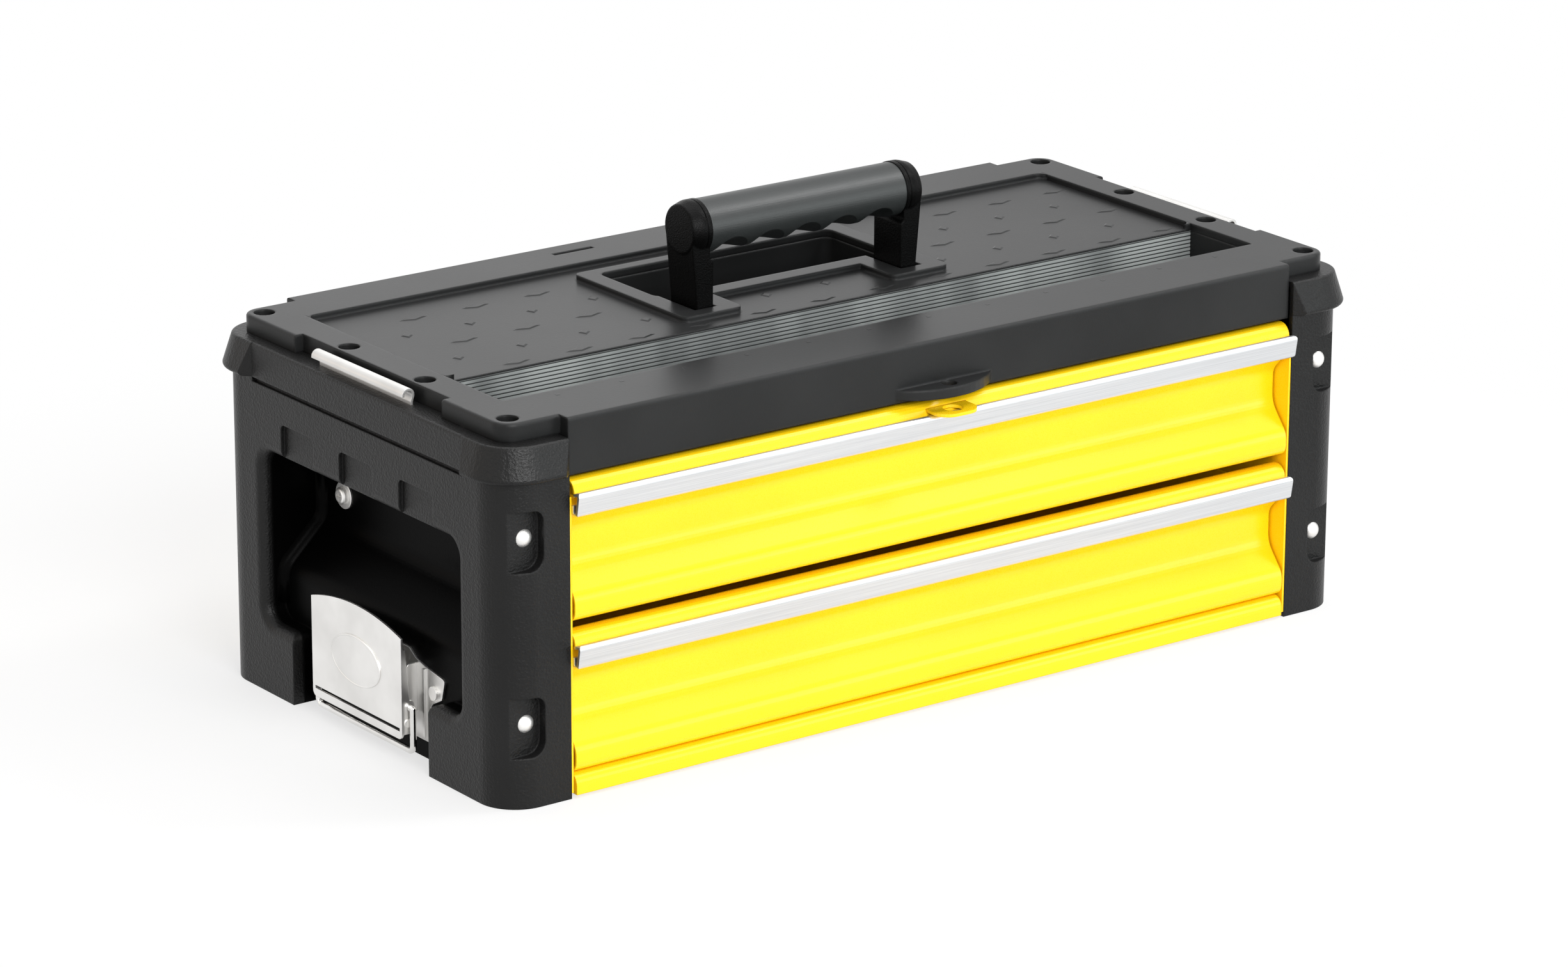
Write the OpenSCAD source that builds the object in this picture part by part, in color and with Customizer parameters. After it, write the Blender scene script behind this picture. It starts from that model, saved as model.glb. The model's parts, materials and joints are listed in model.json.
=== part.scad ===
// Two-drawer module of a stacking tool case: moulded end caps and cover round a
// folded steel shell, rolled steel drawers on ball runners, a fold-down handle on
// top and a draw latch in each end. X runs right along the front, Y to the back,
// Z up. The origin is on the floor, in the middle of the whole footprint.

/* [Case] */
// Width over the flat sides of the end caps
case_w = 515; // [480:5:560]
// Depth over the flat faces of the corner posts
case_d = 248; // [240:2:270]
// Height of one drawer front
drawer_h = 69.4; // [66:0.2:84]
// Thickness of the folded sheet steel
sheet_t = 1.2; // [0.8:0.1:1.4]
// Thickness of the moulded walls
wall = 2.8; // [2.4:0.1:3.2]

/* [End caps] */
// Width of a corner post, seen from the front
post_w = 38; // [36:1:46]
// Radius of the outer vertical corners
corner_r = 20; // [16:1:24]
// Height of the flared corner collars
collar_h = 17.2; // [14:0.1:18]
// How far a collar stands proud at its bottom edge
flare_out = 5.6; // [2:0.1:6.5]
// Rounding of the top edges
rim_r = 1.5; // [1:0.1:2.4]
// Rounding round the mouth of the hand recess
mouth_r = 5; // [3:0.5:7]
// Depth of the hand recess behind the flat side
hand_depth = 35.5; // [30:0.5:35.5]
// Depth of the lower recess that holds the latch
latch_depth = 12.5; // [11.5:0.1:14]
// Half length of the recess opening along the side
open_y = 86; // [80:1:90]
// Half length of the gap between the two feet of one end cap
foot_y = 60; // [56:1:66]
// Height of the foot shoulders below the opening
foot_h = 36; // [32:1:40]
// Top edge of the recess opening
open_top = 124; // [118:1:126]
// Height of a rivet pocket in a post
pocket_h = 29.5; // [24:0.5:30]
// Depth of a rivet pocket
pocket_depth = 5.3; // [4:0.1:6]

/* [Cover] */
// Height of the front and rear skirts, measured down from the top face
skirt_h = 27.8; // [26:0.1:34]
// Height of the set-back block above the end caps
block_h = 9; // [7.5:0.5:12]
// Depth of the recessed tread panel
panel_drop = 3; // [2:0.5:4]
// Depth of the long tool channel
channel_depth = 34.5; // [28:0.5:34.5]
// Width of the long tool channel, front to back
channel_w = 47.9; // [38:0.1:48]
// Depth of the handle well
well_depth = 32; // [30:0.5:34]
// Thickness of the padlock hasp
hasp_t = 5; // [4:0.5:5]

/* [Handle] */
// Width over the two posts of the handle
handle_w = 140; // [132:2:146]
// Height of the grip's middle over its hinge
handle_reach = 53; // [50:0.5:54]
// Diameter of the rubber grip
grip_d = 27; // [24:0.5:28]
// Width of a handle post, front to back
post_deep = 22; // [18:0.5:22]
// Diameter of the hinge pins
pin_d = 6; // [5:0.5:7]
// Spacing of the finger grooves
groove_pitch = 22.3; // [20:0.1:22.6]

/* [Drawers] */
// Gap between the two drawer fronts
drawer_gap = 5; // [4:0.5:7]
// Height of the rolled rail under the lower drawer
rail_h = 10; // [8:0.5:12]
// How far the recessed band of a front lies behind its rolls
front_recess = 11.5; // [9:0.5:12]
// Height of the drawer trays
tray_h = 57.5; // [50:0.5:58]
// Height of an aluminium pull
pull_h = 13.2; // [11.5:0.1:14]
// Thickness of a pull's wall
pull_t = 1.5; // [1.2:0.1:1.8]
// How far a pull stands in front of the drawer's top roll
pull_proud = 5.8; // [4.5:0.1:6.5]

/* [Runners] */
// Length of the fixed runner members
runner_len = 216; // [200:2:220]
// Height of the fixed runner members
runner_h = 27; // [24:0.5:30]
// Space between side panel and tray for a runner
runner_space = 10.3; // [9.8:0.1:11]
// Travel of a drawer
drawer_travel = 150; // [120:5:155]

/* [Latches] */
// Width of a latch lever
lever_w = 79; // [74:0.5:84]
// Height of a latch lever at its arched middle
lever_h = 57; // [52:0.5:59]
// Diameter of the bail wire
bail_wire_d = 3.2; // [2.8:0.1:3.6]
// Half length of a catch plate
catch_y = 39.7; // [36:0.1:44]

/* [Fasteners] */
// Diameter of a cover screw's counterbore
cover_bore_d = 10.6; // [10:0.2:11.4]
// Diameter of a post rivet's domed head
post_rivet_d = 8.7; // [7:0.1:9]

/* [Hidden] */

// Curves and cuts
round_fn = 64;
small_fn = 32;
bend_steps = 6;
cut = 1;
seat_gap = 0.3;

// Heights, from the floor up
floor_gap = 1.5;
rail_top = floor_gap + rail_h;
rail_gap = 0.6;
lower_z = rail_top + rail_gap;
upper_z = lower_z + drawer_h + drawer_gap;
fronts_top = upper_z + drawer_h;
skirt_gap = 2.3;
skirt_z = fronts_top + skirt_gap;
top_z = skirt_z + skirt_h;
ledge_z = top_z - block_h;
panel_z = top_z - panel_drop;
deck_lip = 1;
rim_z = panel_z - deck_lip;
collar_z = ledge_z - collar_h;

// Plan of the case
half_w = case_w / 2;
half_d = case_d / 2;
post_in = half_w - post_w;
corner_x = half_w - corner_r;
corner_y = half_d - corner_r;

// Recess in an end cap
hand_x = half_w - hand_depth;
latch_x = half_w - latch_depth;
liner_t = 2.3;
liner_seat = 1;
liner_out = half_w - mouth_r - liner_seat;
ramp_top = 84;
ramp_bottom = 62;
ramp_r = 12;
open_r = 9;
foot_r = 4;
collar_end = 92;
collar_low_r = 1.8;
collar_lost = collar_low_r / tan(atan2(collar_h, flare_out) / 2) - collar_low_r;
back_reach = half_d + flare_out - collar_lost;
groove_h = 2.3;
groove_depth = 2;
tab_w = 29;
tab_h = 18;
tab_depth = 2.2;
tab_pitch = 52;
tab_r = 3;
tab_margin = 3;
tab_back_t = 2.5;
tabs_end = tab_pitch + tab_w / 2 + tab_margin;

// Rivet pockets, one pair in each post
pocket_in = 23.5;
pocket_low_z = 25;
pocket_high_drop = 8;
pocket_high_z = open_top - pocket_high_drop;
pocket_low_r = 7.5;
pocket_top_r = 5.5;
rivet_in = 15.8;
rivet_x = half_w - rivet_in;
rivet_up = 15.7;
rivet_dome = 2.6;
rivet_shank_d = 4.2;
rivet_shank = 7;
pocket_floor_y = half_d - pocket_depth;

// Cover, plan sizes
skirt_side_gap = 1;
skirt_back_off = 2.5;
skirt_x = post_in - skirt_side_gap;
skirt_y = half_d - skirt_back_off;
block_in_x = 7.5;
block_in_y = 9;
block_x = half_w - block_in_x;
block_y = half_d - block_in_y;
block_r = 9.5;
inset_depth = 4.6;
inset_x = block_x - inset_depth;
inset_y = 64;
skirt_return = 13;
panel_margin = 22;
panel_x = block_x - panel_margin;
panel_front = -33.7;
panel_back = 88.4;
panel_r = 5;
channel_x = panel_x;
channel_back = panel_front;
channel_front = channel_back - channel_w;
channel_floor = top_z - channel_depth;
channel_ribs = 9;
rib_pitch = 2;
rib_groove = 0.7;
rib_sunk = 0.5;
rib_first = 4.2;
surround_x = 81.2;
surround_front = 5.5;
surround_back = 74;
foot_in = 45.8;
foot_front = -21.5;
surround_r = 4;
well_x = 71.2;
well_front = 15.6;
well_back = 67;
well_r = 5;
well_floor = top_z - well_depth;
rear_slot_x = -58;
rear_slot_y = 108;
rear_slot_w = 24;
rear_slot_h = 3;
corner_screw_in_x = 8.8;
corner_screw_in_y = 9.3;
corner_screw_x = block_x - corner_screw_in_x;
corner_screw_y = block_y - corner_screw_in_y;
mid_screw_in = 6.6;
mid_screw_x = inset_x - mid_screw_in;
mid_screw_y = 33;
cover_boss_r = 7.4;
cover_bore_depth = 5;
screw_shank_d = 4.4;
screw_hole_d = 5;
screw_head_d = 9;
screw_head_h = 2.6;
screw_len = 22;
cap_boss_r = 5.4;
hasp_half = 29;
hasp_reach = 11.5;
hasp_up = 1.5;
hasp_z = skirt_z + hasp_up;
hasp_hole_r = 3.9;
hasp_hole_out = 4.4;
hasp_hole_y = -skirt_y - hasp_hole_out;

// Handle
hinge_y = -1;
hinge_drop = 15;
hinge_z = top_z - hinge_drop;
hinge_clear = 0.08;
grip_r = grip_d / 2;
post_r = post_deep / 2;
handle_post_t = 12.4;
handle_taper = 3;
taper_low = 16;
taper_high = 49;
post_side_gap = 2.6;
post_inner_gap = 1;
pocket_swing = 1.5;
pocket_floor = hinge_z - post_r - pocket_swing;
post_x = handle_w / 2 - handle_post_t;
pocket_w = post_inner_gap + handle_post_t - handle_taper + post_side_gap;
core_r = 8;
knob_proud = 0.4;
knob_r = grip_r + knob_proud;
knob_step = 1.9;
knob_x = post_x + knob_step;
knob_flat = 5;
knob_end_drop = 1.7;
knob_bend = 6;
knob_edge_r = 1;
knob_line_in = 2.3;
knob_line_w = 0.5;
knob_line_depth = 0.4;
pin_wall = 8;
groove_r = 15;
groove_depth_grip = 3.7;
groove_turn = 25;
grooves = 5;
pin_len = pocket_w + 2 * pin_wall;
pin_mid = post_x - post_inner_gap + pocket_w / 2;

// Drawers
front_side_gap = 2.3;
front_x = post_in - front_side_gap;
roll_proud = 0.5;
roll_y = -half_d - roll_proud;
roll_w = 13;
roll_front_r = 6.4;
roll_back_r = 5.5;
roll_leg = 10;
ledge_drop = 8.2;
ledge_in = 3.9;
bend_spare = 0.2;
ledge_r = sheet_t + bend_spare;
neck_top_r = 1.1;
neck_drop = 18;
neck_r = 6;
band_top_drop = 26;
band_top_r = 8;
band_low_up = 26;
band_low_r = 14;
bulge_up = 12;
bulge_r = 10;
bulge_low_r = 5.5;
band_y = roll_y + front_recess;
front_flange = 18;
tray_front_y = roll_y + roll_w;
panel_in = post_in - sheet_t;
tray_x = panel_in - runner_space;
back_in = 5.3;
back_y = half_d - back_in;
tray_back_gap = 7;
tray_back_y = back_y - sheet_t - tray_back_gap;
pull_over = 1;
pull_x = front_x + pull_over;
pull_back_y = roll_y + ledge_in;
pull_front_y = roll_y - pull_proud;
pull_top = 3.6;
pull_neck = 6;
pull_slope = 2.2;
pull_lip = 5.3;
pull_return = 4.6;
pull_end_r = 1.6;
pull_nose_spare = 0.5;
pull_r = pull_t + pull_nose_spare;
clip_in = 12;
clip_lip = 4;
hook_gap = 0.3;
hook_z = ledge_drop + hook_gap;
tab_out = 13.8;
tab_reach = half_d + tab_out;
tab_sheet_t = 1.6;
tab_half = 12;
tab_corner_r = 8;
tab_hole_r = 5;
tab_hole_back = 8.8;
tab_drop = 3.7;
tab_slot_gap = 0.2;
tab_back_gap = 1.2;
tab_back_y = tray_front_y - sheet_t - tab_back_gap;

// Runners
runner_in = 5.5;
runner_front = tray_front_y + runner_in;
runner_up = 28;
runner_lip = 7;
race_gap = 4.1;
inner_h = runner_h - 2 * sheet_t - 2 * race_gap;
inner_lip = 6.9;
inner_in = 3.5;
inner_front = tray_front_y + inner_in;
ball_r = 1.75;
cage_t = 0.8;
cage_len = 60;
cage_ahead = 2;
cage_front = runner_front + drawer_travel / 2 - cage_ahead;
cage_balls = 5;
cage_web_gap = 0.9;
ball_in = 0.5;

// Latches, measured outward from the wall of the latch recess
latch_mid_y = 1.4;
latch_plate_t = 1.2;
lever_face = 13.2;
lever_low = 11.5;
lever_side_drop = 6;
lever_corner_r = 3;
lever_flange_z = 14;
lever_flange_back = 8.6;
lever_lug_back = 6;
lever_lug_r = 3.6;
lever_pin_out = 9.7;
lever_pin_z = 19.5;
lever_pin_r = 1.4;
bail_out = 8.5;
bail_z = 27;
bail_low = 5.5;
bail_side_gap = 0.9;
bail_leg_y = lever_w / 2 + bail_side_gap + bail_wire_d / 2;
bail_bend_r = 3.2;
bail_end_gap = 0.6;
bail_in = lever_w / 2 - latch_plate_t - bail_end_gap;
slot_z = 15.4;
slot_h = 1.7;
slot_end = 2;
slot_half = lever_w / 2 - slot_end;
oval_a = 21;
oval_b = 12;
oval_z = 40.3;
oval_proud = 0.6;
ear_in = 4.7;
ear_y = lever_w / 2 - ear_in;
ear_t = 1.3;
ear_out = 8;
ear_top = 47;
ear_low_up = 4;
ear_r = 2;
rivet_head_r = 2;
rivet_head_t = 0.5;
base_leg_y = 46.5;
base_low = 9.5;
base_window_top = 27;
base_window_y = ear_y - ear_t;
base_wing_y = 58.8;
base_wing_in_y = 56;
base_wing_low = 29;
base_wing_mid = 34;
base_wing_high = 44.5;
base_neck_y = 42;
base_neck_z = 47;
base_top = 53;
base_top_y = 28;
base_slope_y = 34;
base_slope_z = 49;
base_bend_r = 2;
ridge_y = 42.7;
ridge_w = 1.7;
ridge_t = 1.2;
wing_rivet_y = 50;
wing_rivet_z = 36;
wing_rivet_r = 3.4;
wing_rivet_t = 1.4;

// Screws high in the hand recess
recess_screw_y = 66;
recess_screw_z = 99.6;
recess_screw_d = 4.4;
recess_washer_r = 7;
recess_washer_t = 1.2;
recess_head_r = 4.4;
recess_head_t = 2.6;

// Catch plates
catch_leg_out = 5;
catch_leg_x = inset_x + catch_leg_out;
catch_leg_depth = 9;
catch_kink = 0.9;
catch_kink_low = 1.6;
catch_kink_high = 4.6;
catch_kink_r = 2;
catch_hook_r = 2.1;
catch_hook_flat = 0.1;
catch_hook_up = 7.1;
catch_hook_low = 4.4;

// The footprint box is centred on the origin
mid_y = (tab_reach - back_reach) / 2;

// Paths and sheet sections
function unit(v) = v / norm(v);
function quarter_left(v) = [-v[1], v[0]];

// Points of a bend of radius r at corner b, between a and c
function bend(a, b, c, r) =
    let (
        u = unit(a - b),
        w = unit(c - b),
        half = acos(max(-1, min(1, u * w))) / 2,
        start = b + u * r / tan(half),
        end = b + w * r / tan(half),
        mid = b + unit(u + w) * r / sin(half),
        a0 = atan2(start[1] - mid[1], start[0] - mid[0]),
        a1 = atan2(end[1] - mid[1], end[0] - mid[0]),
        sweep = (a1 - a0 + 540) % 360 - 180
    )
    [for (i = [0:bend_steps])
        mid + r * [cos(a0 + sweep * i / bend_steps), sin(a0 + sweep * i / bend_steps)]];

// An open path through corners of [a, b, bend radius]
function path(p) = [for (i = [0:len(p) - 1])
    let (here = [p[i][0], p[i][1]])
    each (i == 0 || i == len(p) - 1 || p[i][2] == 0)
        ? [here]
        : bend([p[i - 1][0], p[i - 1][1]], here, [p[i + 1][0], p[i + 1][1]], p[i][2])];

// A closed outline through corners of [a, b, bend radius]
function loop(p) = [for (i = [0:len(p) - 1])
    let (
        n = len(p),
        before = p[(i + n - 1) % n],
        after = p[(i + 1) % n],
        here = [p[i][0], p[i][1]]
    )
    each p[i][2] == 0
        ? [here]
        : bend([before[0], before[1]], here, [after[0], after[1]], p[i][2])];

// The path moved sideways to its left by d
function moved(p, d) = [for (i = [0:len(p) - 1])
    let (
        before = unit(p[max(i, 1)] - p[max(i, 1) - 1]),
        after = unit(p[min(i, len(p) - 2) + 1] - p[min(i, len(p) - 2)]),
        side = unit(quarter_left(before) + quarter_left(after))
    )
    p[i] + side * d / (side * quarter_left(before))];

function reversed(p) = [for (i = [len(p) - 1:-1:0]) p[i]];

// A sheet of thickness t on the left of a path
function sheet(p, t) = concat(p, reversed(moved(p, t)));

// A rectangle with four equal corners
function slab(a0, a1, b0, b1, r) = loop([[a0, b0, r], [a1, b0, r], [a1, b1, r], [a0, b1, r]]);

module along_x(from, to) {
    translate([from, 0, 0]) rotate([90, 0, 90]) linear_extrude(to - from) children();
}

module along_y(from, to) {
    translate([0, to, 0]) rotate([90, 0, 0]) linear_extrude(to - from) children();
}

module along_z(from, to) {
    translate([0, 0, from]) linear_extrude(to - from) children();
}

// A block with rounded corners, its side following a profile of [outward step, height]
module rounded_block(a, b, r, profile) {
    back = reversed(profile);
    along_x(r - a, a - r)
        polygon(concat([for (p = profile) [-b - p[0], p[1]]], [for (p = back) [b + p[0], p[1]]]));
    along_y(r - b, b - r)
        polygon(concat([for (p = profile) [-a - p[0], p[1]]], [for (p = back) [a + p[0], p[1]]]));
    for (sx = [-1, 1], sy = [-1, 1]) translate([sx * (a - r), sy * (b - r), 0])
        rotate_extrude($fn = round_fn)
            polygon(concat([for (p = profile) [r + p[0], p[1]]], [[0, back[0][1]], [0, profile[0][1]]]));
}

module between(low, high) {
    translate(low) cube(high - low);
}

module rod_x(from, to, r) {
    translate([from, 0, 0]) rotate([0, 90, 0]) cylinder(h = to - from, r = r, $fn = round_fn);
}

module rod_y(from, to, r) {
    translate([0, to, 0]) rotate([90, 0, 0]) cylinder(h = to - from, r = r, $fn = round_fn);
}

module in_place() {
    translate([0, mid_y, 0]) children();
}

module in_latch_place() {
    translate([0, mid_y + latch_mid_y, 0]) children();
}

module on_left() {
    mirror([1, 0, 0]) children();
}

module front_and_back() {
    children();
    mirror([0, 1, 0]) children();
}

// End caps
module cap_plan(grow) {
    depth = half_d + grow;
    translate([post_in, -depth]) square([corner_x - post_in, 2 * depth]);
    translate([post_in, -corner_y]) square([half_w + grow - post_in, 2 * corner_y]);
    intersection() {
        for (s = [-1, 1]) translate([corner_x, s * corner_y]) circle(corner_r + grow, $fn = round_fn);
        translate([post_in, -case_d]) square([post_w + corner_r, 2 * case_d]);
    }
}

// Open towards the side panel
module cap_hollow(inset) {
    cap_plan(-inset);
    translate([post_in - cut, inset - half_d]) square([corner_r, 2 * (half_d - inset)]);
}

module cap_band(profile) {
    intersection() {
        rounded_block(half_w, half_d, corner_r, profile);
        between([post_in, -case_d, 0], [case_w, case_d, top_z]);
    }
}

// Plan of one collar, with both ends cut at a slant
module collar_plan() {
    out = flare_out + cut;
    polygon([
        [post_in, -collar_end], [post_in, -half_d], [post_in + out, -half_d - out],
        [half_w + out, -half_d - out], [half_w + out, -collar_end - out], [half_w, -collar_end]
    ]);
}

// Opening seen from the side, a wide part over the gap between the feet
module opening(grow) {
    top = open_top + grow;
    shoulder = foot_h - grow;
    wide = open_y + grow;
    narrow = foot_y + grow;
    polygon(loop([
        [-narrow, -cut, 0], [-narrow, shoulder, foot_r], [-wide, shoulder, open_r],
        [-wide, top, open_r], [wide, top, open_r], [wide, shoulder, open_r],
        [narrow, shoulder, foot_r], [narrow, -cut, 0]
    ]));
}

// Space of the recess seen from the front: deep for a hand, shallow at the latch
module recess_depths(grow) {
    back = path([
        [hand_x, open_top + corner_r, 0], [hand_x, ramp_top, ramp_r],
        [latch_x, ramp_bottom, ramp_r], [latch_x, -cut, 0]
    ]);
    polygon(concat(moved(back, -grow), [[half_w + cut, -cut], [half_w + cut, open_top + corner_r]]));
}

module recess_space(grow) {
    intersection() {
        along_x(post_in - cut, half_w + cut) opening(grow);
        along_y(-open_y - corner_r, open_y + corner_r) recess_depths(grow);
    }
}

// Rounded edge of the recess where it meets the flat side
module recess_mouth() {
    side = path([
        [0, half_w - 2 * mouth_r, 0], [0, half_w, mouth_r], [mouth_r + cut, half_w, 0]
    ]);
    rotate([90, 0, 90]) translate([0, (open_top + foot_h) / 2, 0])
        rounded_block(open_y, (open_top - foot_h) / 2, open_r, concat(side, [[mouth_r + cut, half_w + cut]]));
}

// Seen from the front, open towards the rounded corner
module pocket_outline(grow) {
    polygon(loop([
        [half_w - pocket_in - grow, -grow, pocket_low_r], [half_w + cut, -grow, 0],
        [half_w + cut, pocket_h + grow, 0], [half_w - pocket_in - grow, pocket_h + grow, pocket_top_r]
    ]));
}

module at_pockets() {
    front_and_back() for (z = [pocket_low_z, pocket_high_z]) translate([0, 0, z]) children();
}

module at_recess_screws() {
    front_and_back() translate([0, -recess_screw_y, recess_screw_z]) children();
}

module at_corner_screws() {
    front_and_back() translate([corner_screw_x, -corner_screw_y, 0]) children();
}

module at_mid_screws() {
    front_and_back() translate([mid_screw_x, -mid_screw_y, 0]) children();
}

module at_cap_screws() {
    at_corner_screws() children();
    at_mid_screws() children();
}

module cap_body() {
    along_z(0, collar_z) cap_plan(0);
    intersection() {
        cap_band(path([[0, collar_z - cut, 0], [0, ledge_z, rim_r], [-wall, ledge_z, 0]]));
        between([post_in, -collar_end, collar_z - cut], [half_w + cut, collar_end, ledge_z]);
    }
    intersection() {
        cap_band(path([
            [-wall, collar_z, 0], [flare_out, collar_z, collar_low_r], [0, ledge_z, rim_r], [-wall, ledge_z, 0]
        ]));
        along_z(collar_z, ledge_z) front_and_back() collar_plan();
    }
}

module end_cap() {
    boss_len = catch_leg_depth + screw_len / 2;
    color([0.09, 0.1, 0.1]) in_place() difference() {
        union() {
            difference() {
                cap_body();
                along_z(wall, ledge_z - wall) cap_hollow(wall);
                liner_space(liner_t);
            }
            intersection() {
                recess_space(liner_t);
                between([liner_out, -case_d, 0], [half_w, case_d, top_z]);
            }
            intersection() {
                along_z(0, collar_z) cap_plan(0);
                at_pockets() along_y(-half_d - cut, -pocket_floor_y + wall) pocket_outline(wall);
            }
            between([half_w - tab_depth - tab_back_t, -tabs_end, open_top - cut],
                [half_w - cut, tabs_end, open_top + tab_h + tab_margin]);
            at_cap_screws() translate([0, 0, ledge_z - wall - boss_len])
                cylinder(h = boss_len + cut, r = cap_boss_r, $fn = small_fn);
        }
        recess_space(0);
        recess_mouth();
        at_pockets() along_y(-half_d - cut, -pocket_floor_y) pocket_outline(0);
        at_pockets() translate([rivet_x, 0, rivet_up])
            rod_y(-half_d, -pocket_floor_y + wall + cut, rivet_shank_d / 2);
        for (i = [-1:1])
            along_x(half_w - tab_depth, half_w + cut)
                polygon(loop([
                    [i * tab_pitch - tab_w / 2, open_top - cut, 0],
                    [i * tab_pitch + tab_w / 2, open_top - cut, 0],
                    [i * tab_pitch + tab_w / 2, open_top + tab_h, tab_r],
                    [i * tab_pitch - tab_w / 2, open_top + tab_h, tab_r]
                ]));
        between([half_w - groove_depth, -collar_end, collar_z - groove_h],
            [half_w + cut, collar_end, collar_z]);
        at_cap_screws() translate([0, 0, ledge_z - screw_len])
            cylinder(h = screw_len + cut, d = screw_hole_d, $fn = small_fn);
        between([catch_leg_x - latch_plate_t, latch_mid_y - catch_y - tab_slot_gap, ledge_z - wall - cut],
            [catch_leg_x + tab_slot_gap, latch_mid_y + catch_y + tab_slot_gap, ledge_z + cut]);
        between([post_in - cut, channel_front - 2 * wall, channel_floor - wall - cut],
            [channel_x + wall + cut, channel_back + 2 * wall, ledge_z + cut]);
    }
}

module liner_space(grow) {
    intersection() {
        recess_space(grow);
        between([post_in, -case_d, 0], [liner_out, case_d, top_z]);
    }
}

module recess_liner() {
    color([0.09, 0.1, 0.1]) in_place() difference() {
        liner_space(liner_t);
        recess_space(0);
        at_recess_screws() rod_x(hand_x - liner_t - cut, hand_x + cut, recess_screw_d / 2);
    }
}

module recess_screws() {
    washer_x = hand_x + recess_washer_t;
    color([0.75, 0.76, 0.77]) in_place() for (side = [0, 1]) mirror([side, 0, 0]) at_recess_screws() {
        rod_x(hand_x, washer_x, recess_washer_r);
        rod_x(washer_x, washer_x + recess_head_t, recess_head_r);
        rod_x(panel_in, hand_x, recess_screw_d / 2 - seat_gap / 3);
    }
}

// Sheet steel shell
module side_panel() {
    color([0.98, 0.8, 0.05]) in_place() difference() {
        between([panel_in, -half_d + seat_gap, floor_gap + sheet_t],
            [post_in, back_y - sheet_t, channel_floor - wall - seat_gap]);
        at_recess_screws() rod_x(panel_in - cut, post_in + cut, recess_screw_d / 2);
    }
}

module back_panel() {
    under_skirt = skirt_x - wall - seat_gap;
    color([0.98, 0.8, 0.05]) in_place() {
        between([-post_in, back_y - sheet_t, floor_gap + sheet_t], [post_in, back_y, skirt_z - seat_gap]);
        between([-under_skirt, back_y - sheet_t, floor_gap + sheet_t],
            [under_skirt, back_y, skirt_z + skirt_return]);
    }
}

module base_pan() {
    rail_front = roll_y - seat_gap;
    rail_back = rail_front + roll_w;
    rail = path([
        [rail_back, floor_gap + sheet_t, 0], [rail_back, rail_top, roll_back_r / 2],
        [rail_front, rail_top, roll_back_r], [rail_front, floor_gap, 0]
    ]);
    color([0.98, 0.8, 0.05]) in_place() {
        along_x(-front_x, front_x) polygon(sheet(rail, sheet_t));
        between([-front_x, rail_front, floor_gap], [front_x, rail_back, floor_gap + sheet_t]);
        between([-post_in, rail_back, floor_gap], [post_in, back_y, floor_gap + sheet_t]);
        for (s = [-1, 1]) translate([s * (front_x - sheet_t / 2), 0, 0])
            along_x(-sheet_t / 2, sheet_t / 2) polygon(concat(rail, [[rail_back, floor_gap]]));
    }
}

// Cover
module cover_plan(grow) {
    difference() {
        union() {
            square([2 * (skirt_x + grow), 2 * (skirt_y + grow)], center = true);
            polygon(slab(-block_x - grow, block_x + grow, -block_y - grow, block_y + grow, block_r + grow));
        }
        side_insets(grow);
    }
}

module side_insets(grow) {
    for (s = [-1, 1]) translate([s * (inset_x + grow + block_r), 0])
        square([2 * block_r, 2 * (inset_y - grow)], center = true);
}

// Outside of the cover, with its top edges rounded
module cover_block() {
    edge = path([[0, ledge_z, 0], [0, top_z, rim_r], [-wall, top_z, 0]]);
    difference() {
        rounded_block(block_x, block_y, block_r, edge);
        along_z(ledge_z - cut, top_z + cut) side_insets(0);
    }
    along_x(-skirt_x, skirt_x)
        polygon(concat([for (p = edge) [-skirt_y - p[0], p[1]]],
            [for (p = reversed(edge)) [skirt_y + p[0], p[1]]]));
}

module surround_plan() {
    polygon(slab(-surround_x, surround_x, surround_front, surround_back, surround_r));
    for (s = [-1, 1])
        polygon(slab(s * foot_in, s * surround_x, foot_front, surround_back / 2, surround_r));
}

module post_pocket_plan(grow) {
    low = hinge_y - post_r - pocket_swing - grow;
    for (s = [-1, 1]) mirror([s < 0 ? 1 : 0, 0])
        translate([post_x - post_inner_gap - grow, low])
            square([pocket_w + 2 * grow, well_front + well_r - low]);
}

module well_plan(grow) {
    polygon(slab(-well_x - grow, well_x + grow, well_front - grow, well_back + grow, well_r + grow));
}

module channel_plan(grow) {
    translate([-channel_x - grow, channel_front - grow])
        square([2 * (channel_x + grow), channel_w + 2 * grow]);
}

// Blocks that hold the hinge pins
module pin_block_plan() {
    post_pocket_plan(wall);
    for (s = [-1, 1]) polygon(slab(s * foot_in, s * surround_x, foot_front + wall, well_front, surround_r));
}

module hasp() {
    chord = hasp_half;
    r = (chord * chord + hasp_reach * hasp_reach) / (2 * hasp_reach);
    difference() {
        along_z(hasp_z, hasp_z + hasp_t) intersection() {
            translate([0, -skirt_y - hasp_reach + r]) circle(r, $fn = 4 * round_fn);
            translate([-chord, -skirt_y - hasp_reach - cut]) square([2 * chord, hasp_reach + 2 * cut]);
        }
        translate([0, hasp_hole_y, hasp_z - cut])
            cylinder(h = hasp_t + 2 * cut, r = hasp_hole_r, $fn = small_fn);
    }
}

module cover_screw_places() {
    for (side = [0, 1]) mirror([side, 0, 0]) at_cap_screws() children();
}

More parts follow.
